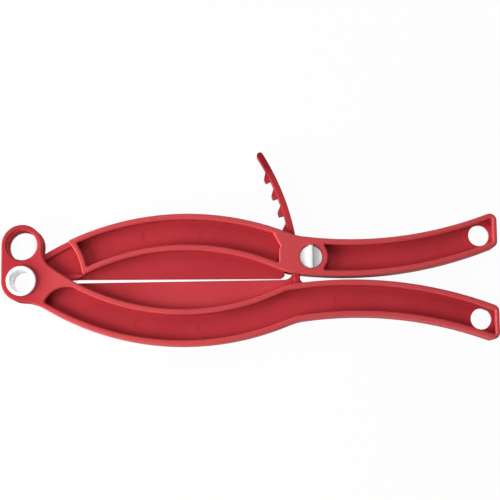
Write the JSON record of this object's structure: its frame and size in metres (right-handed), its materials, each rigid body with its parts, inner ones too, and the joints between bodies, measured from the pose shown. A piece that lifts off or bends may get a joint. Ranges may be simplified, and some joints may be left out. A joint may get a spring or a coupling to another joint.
{
  "type": "ratcheting pinch clamp",
  "caption": "Long moulded pinch clamp: bowed I-beam arms on a hollow hinge sleeve shut thin jaw webs edge to edge, held by a toothed strap and a turning lock knob.",
  "frame": {"origin": "hinge axis at the middle of the arms' depth", "axes": "+X along the pinch line from the hinge to the handles, +Y towards the upper arm, +Z along the hinge axis out of the front face that carries the knob"},
  "size_m": [0.298, 0.1174, 0.0182],
  "materials": {
    "red_plastic": "satin moulded",
    "white_plastic": "satin moulded"
  },
  "bodies": {
    "base": {"lower_arm": "red_plastic", "pivot_sleeve": "white_plastic"},
    "swing_arm": {"upper_arm": "red_plastic"},
    "knob": {"lock_knob": "white_plastic"}
  },
  "joints": [
    {"name": "arm_hinge", "type": "hinge", "parent": "base", "child": "swing_arm", "pos_m": [0, 0, 0], "axis": [0, 0, 1], "range_deg": [0, 120]},
    {"name": "lock_turn", "type": "hinge", "parent": "swing_arm", "child": "knob", "pos_m": [0.1736, 0.0129, 0], "axis": [0, 0, 1], "range_deg": [0, 90]}
  ]
}
